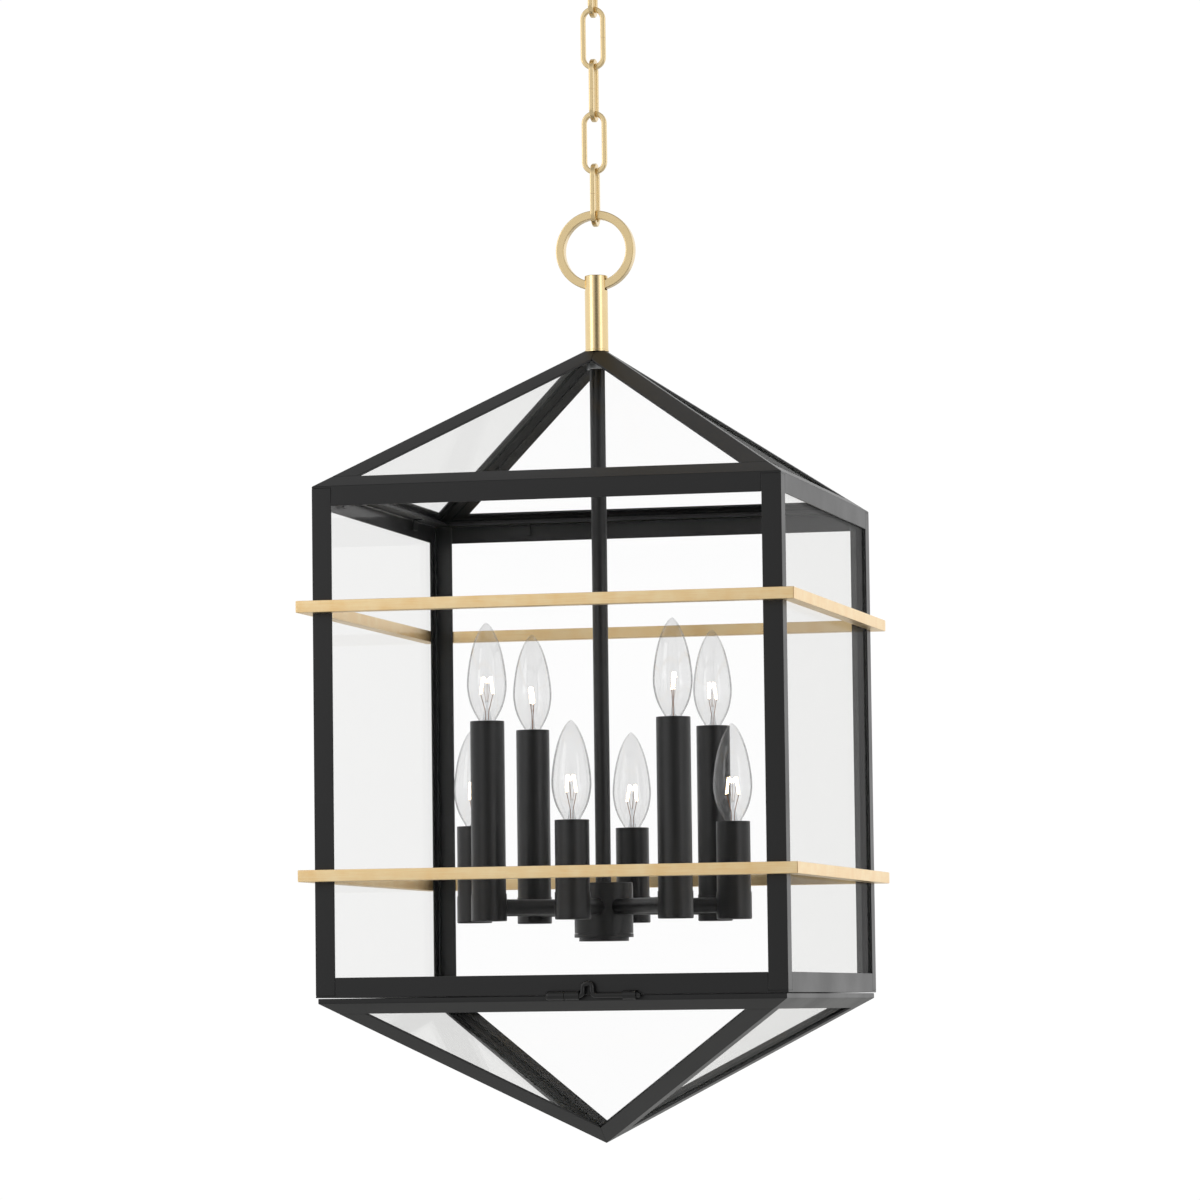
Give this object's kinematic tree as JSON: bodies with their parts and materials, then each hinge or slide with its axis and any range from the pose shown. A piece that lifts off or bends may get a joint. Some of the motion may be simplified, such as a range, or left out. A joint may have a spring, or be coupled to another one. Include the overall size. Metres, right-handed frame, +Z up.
{
  "type": "hanging lantern",
  "caption": "Square hanging lantern: black angle-iron cage with clear glass, brushed-brass bands, candle cluster, hinged glass door below, chain and ceiling canopy.",
  "frame": {"origin": "centre of the canopy where it meets the ceiling", "axes": "+Z up, the latch side faces -Y, +X to the right of someone facing the latch"},
  "size_m": [0.403, 0.403, 1.0337],
  "materials": {
    "black_powder_coat": "satin powder coat",
    "brushed_brass": "brushed, lacquered",
    "satin_brass": "satin champagne plate",
    "window_glass": "clear float glass",
    "bulb_glass": "clear blown glass",
    "base_brass": "plain",
    "filament_wire": "lit filament and its supports",
    "phenolic": "moulded",
    "nylon": "moulded",
    "zinc_steel": "zinc plated"
  },
  "bodies": {
    "ceiling": {"ceiling_canopy": "satin_brass", "canopy_crossbar": "zinc_steel", "crossbar_nut": "zinc_steel", "canopy_loop": "satin_brass"},
    "link_1": {"chain_link_1": "satin_brass"},
    "link_2": {"chain_link_2": "satin_brass"},
    "link_3": {"chain_link_3": "satin_brass"},
    "link_4": {"chain_link_4": "satin_brass"},
    "link_5": {"chain_link_5": "satin_brass"},
    "ring": {"hanging_ring": "satin_brass"},
    "lantern": {"apex_locknut": "black_powder_coat", "apex_nipple": "zinc_steel", "apex_plate": "black_powder_coat", "bulb_bases": "base_brass", "bulb_envelopes": "bulb_glass", "bulb_filaments": "filament_wire", "candle_cups": "black_powder_coat", "cluster_arms": "black_powder_coat", "cluster_hub": "black_powder_coat", "cord_bushing": "nylon", "corner_posts": "black_powder_coat", "glass_back": "window_glass", "glass_clips": "black_powder_coat", "glass_front": "window_glass", "glass_left": "window_glass", "glass_right": "window_glass", "hinge_body_leaf": "black_powder_coat", "hinge_pin": "zinc_steel", "hub_cap": "black_powder_coat", "latch_guides": "black_powder_coat", "lower_band": "brushed_brass", "post_washer": "satin_brass", "roof_eaves": "black_powder_coat", "roof_glass_back": "window_glass", "roof_glass_front": "window_glass", "roof_glass_left": "window_glass", "roof_glass_right": "window_glass", "roof_rafters": "black_powder_coat", "short_sleeves": "black_powder_coat", "sill_rails": "black_powder_coat", "socket_bodies": "phenolic", "socket_risers": "zinc_steel", "socket_shells": "base_brass", "stem_tube": "black_powder_coat", "swivel_post": "satin_brass", "tall_sleeves": "black_powder_coat", "top_rails": "black_powder_coat", "upper_band": "brushed_brass"},
    "door": {"door_rafters": "black_powder_coat", "door_rails": "black_powder_coat", "door_glass_front": "window_glass", "door_glass_right": "window_glass", "door_glass_back": "window_glass", "door_glass_left": "window_glass", "hinge_door_leaf": "black_powder_coat", "latch_keeper": "black_powder_coat"},
    "bolt": {"latch_bolt": "black_powder_coat"}
  },
  "joints": [
    {"name": "link_1_swing", "type": "hinge", "parent": "ceiling", "child": "link_1", "pos_m": [0, 0, -0.0615], "axis": [1, 0, 0], "range_deg": [-40, 40]},
    {"name": "link_2_swing", "type": "hinge", "parent": "link_1", "child": "link_2", "pos_m": [0, 0, -0.10465], "axis": [0, 1, 0], "range_deg": [-40, 40]},
    {"name": "link_3_swing", "type": "hinge", "parent": "link_2", "child": "link_3", "pos_m": [0, 0, -0.14825], "axis": [1, 0, 0], "range_deg": [-40, 40]},
    {"name": "link_4_swing", "type": "hinge", "parent": "link_3", "child": "link_4", "pos_m": [0, 0, -0.19185], "axis": [0, 1, 0], "range_deg": [-40, 40]},
    {"name": "link_5_swing", "type": "hinge", "parent": "link_4", "child": "link_5", "pos_m": [0, 0, -0.23545], "axis": [1, 0, 0], "range_deg": [-40, 40]},
    {"name": "ring_swing", "type": "hinge", "parent": "link_5", "child": "ring", "pos_m": [0, 0, -0.2715], "axis": [1, 0, 0], "range_deg": [-40, 40]},
    {"name": "lantern_swing", "type": "hinge", "parent": "ring", "child": "lantern", "pos_m": [0, 0, -0.301], "axis": [0, 1, 0], "range_deg": [-40, 40]},
    {"name": "door_hinge", "type": "hinge", "parent": "lantern", "child": "door", "pos_m": [0, 0.1934, -0.91399], "axis": [1, 0, 0], "range_deg": [0, 100]},
    {"name": "bolt_slide", "type": "slide", "parent": "lantern", "child": "bolt", "axis": [1, 0, 0], "range_m": [0, 0.011]}
  ]
}
